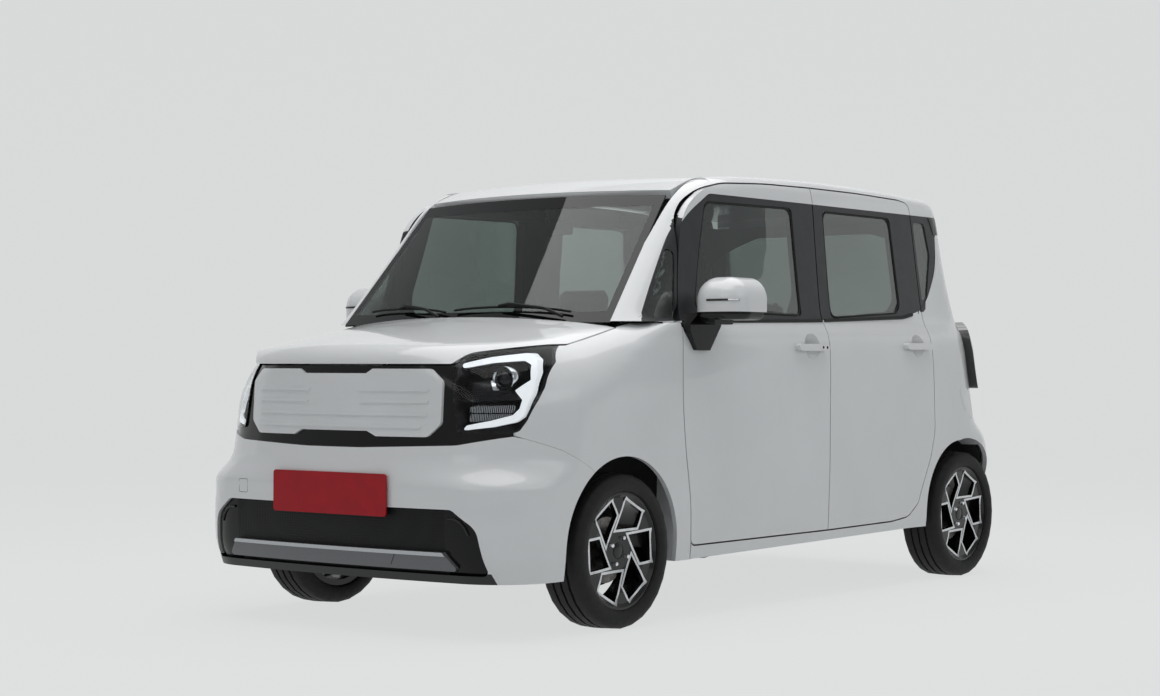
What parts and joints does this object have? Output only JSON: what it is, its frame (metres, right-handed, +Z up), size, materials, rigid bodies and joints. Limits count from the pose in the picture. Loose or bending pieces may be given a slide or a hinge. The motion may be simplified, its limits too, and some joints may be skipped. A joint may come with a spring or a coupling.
{
  "type": "small tall five-door car",
  "caption": "Small tall road car with hinged side doors, a lifting tailgate, an opening hood, steered front wheels and a furnished cabin.",
  "frame": {"origin": "on the ground under the middle of the car's length and width", "axes": "+X forward, +Y to the car's left, +Z up"},
  "size_m": [3.5952, 2.007, 1.698],
  "materials": {
    "white_paint": "gloss",
    "tinted_glass": "gloss",
    "clear_glass": "gloss",
    "lamp_smoke": "gloss",
    "gloss_black": "gloss",
    "lamp_white": "gloss",
    "lamp_cover": "gloss",
    "black_plastic": "satin",
    "silver_plastic": "satin",
    "cast_metal": "matte",
    "chassis_black": "matte",
    "steel_pipe": "satin",
    "cabin_plastic": "matte",
    "seat_fabric": "matte",
    "plate": "satin",
    "tyre": "matte",
    "wheel_alloy": "gloss"
  },
  "bodies": {
    "root": {"roof_panel": "white_paint", "rear_bumper": "white_paint", "body_side_left": "white_paint", "body_side_right": "white_paint", "tail_lamps": "lamp_smoke", "windscreen": "clear_glass", "windscreen_pillars": "white_paint", "fixed_side_windows": "tinted_glass", "cowl_panel": "black_plastic", "front_fenders": "white_paint", "headlamps": "gloss_black", "headlamp_lights": "lamp_white", "headlamp_covers": "lamp_cover", "grille_panel": "white_paint", "front_bumper": "white_paint", "front_grilles": "black_plastic", "front_skid_plate": "silver_plastic", "front_subframe": "chassis_black", "rear_axle": "chassis_black", "engine_block": "cast_metal", "floor_pan": "chassis_black", "fuel_tank": "chassis_black", "exhaust": "steel_pipe", "dashboard": "cabin_plastic", "front_seats": "seat_fabric", "rear_bench": "seat_fabric", "number_plates": "plate"},
    "front_door_left": {"front_door_left": "white_paint", "front_door_glass_left": "tinted_glass", "door_mirror_left": "white_paint"},
    "rear_door_left": {"rear_door_left": "white_paint", "rear_door_glass_left": "tinted_glass"},
    "knuckle_left": {"knuckle_left": "cast_metal"},
    "front_door_right": {"front_door_right": "white_paint", "front_door_glass_right": "tinted_glass", "door_mirror_right": "white_paint"},
    "rear_door_right": {"rear_door_right": "white_paint", "rear_door_glass_right": "tinted_glass"},
    "knuckle_right": {"knuckle_right": "cast_metal"},
    "wheel_front_left": {"tyre_front_left": "tyre", "rim_front_left": "wheel_alloy"},
    "wheel_front_right": {"tyre_front_right": "tyre", "rim_front_right": "wheel_alloy"},
    "wheel_rear_left": {"tyre_rear_left": "tyre", "rim_rear_left": "wheel_alloy"},
    "wheel_rear_right": {"tyre_rear_right": "tyre", "rim_rear_right": "wheel_alloy"},
    "hood": {"hood": "white_paint"},
    "tailgate": {"tailgate": "white_paint", "tailgate_glass": "tinted_glass"},
    "steering_wheel": {"steering_wheel": "cabin_plastic"}
  },
  "joints": [
    {"name": "steer_left", "type": "hinge", "parent": "root", "child": "knuckle_left", "pos_m": [1.1025, 0.64, 0.278], "axis": [0, 0, 1], "range_deg": [-32, 32]},
    {"name": "steer_right", "type": "hinge", "parent": "root", "child": "knuckle_right", "pos_m": [1.1025, -0.64, 0.278], "axis": [0, 0, 1], "range_deg": [-32, 32]},
    {"name": "steering_wheel_turn", "type": "hinge", "parent": "root", "child": "steering_wheel", "pos_m": [0.4, 0.36, 0.94], "axis": [-0.891, 0, 0.454], "range_deg": [-480, 480]},
    {"name": "spin_front_left", "type": "hinge", "parent": "knuckle_left", "child": "wheel_front_left", "pos_m": [1.1025, 0.696, 0.278], "axis": [0, 1, 0], "continuous": true},
    {"name": "spin_front_right", "type": "hinge", "parent": "knuckle_right", "child": "wheel_front_right", "pos_m": [1.1025, -0.696, 0.278], "axis": [0, 1, 0], "continuous": true},
    {"name": "spin_rear_left", "type": "hinge", "parent": "root", "child": "wheel_rear_left", "pos_m": [-1.4175, 0.696, 0.278], "axis": [0, 1, 0], "continuous": true},
    {"name": "spin_rear_right", "type": "hinge", "parent": "root", "child": "wheel_rear_right", "pos_m": [-1.4175, -0.696, 0.278], "axis": [0, 1, 0], "continuous": true},
    {"name": "front_door_left_hinge", "type": "hinge", "parent": "root", "child": "front_door_left", "pos_m": [0.768, 0.7985, 0.65], "axis": [0, 0, -1], "range_deg": [0, 65]},
    {"name": "rear_door_left_hinge", "type": "hinge", "parent": "root", "child": "rear_door_left", "pos_m": [-0.255, 0.7985, 0.65], "axis": [0, 0, -1], "range_deg": [0, 65]},
    {"name": "front_door_right_hinge", "type": "hinge", "parent": "root", "child": "front_door_right", "pos_m": [0.768, -0.7985, 0.65], "axis": [0, 0, 1], "range_deg": [0, 65]},
    {"name": "rear_door_right_hinge", "type": "hinge", "parent": "root", "child": "rear_door_right", "pos_m": [-0.255, -0.7985, 0.65], "axis": [0, 0, 1], "range_deg": [0, 65]},
    {"name": "hood_hinge", "type": "hinge", "parent": "root", "child": "hood", "pos_m": [1.01, 0, 1.105], "axis": [0, -1, 0], "range_deg": [0, 52]},
    {"name": "tailgate_hinge", "type": "hinge", "parent": "root", "child": "tailgate", "pos_m": [-1.392, 0, 1.672], "axis": [0, 1, 0], "range_deg": [0, 80]}
  ],
  "couplings": [
    {"joint": "steer_right", "follows": "steer_left", "ratio": 1},
    {"joint": "steering_wheel_turn", "follows": "steer_left", "ratio": 15}
  ]
}
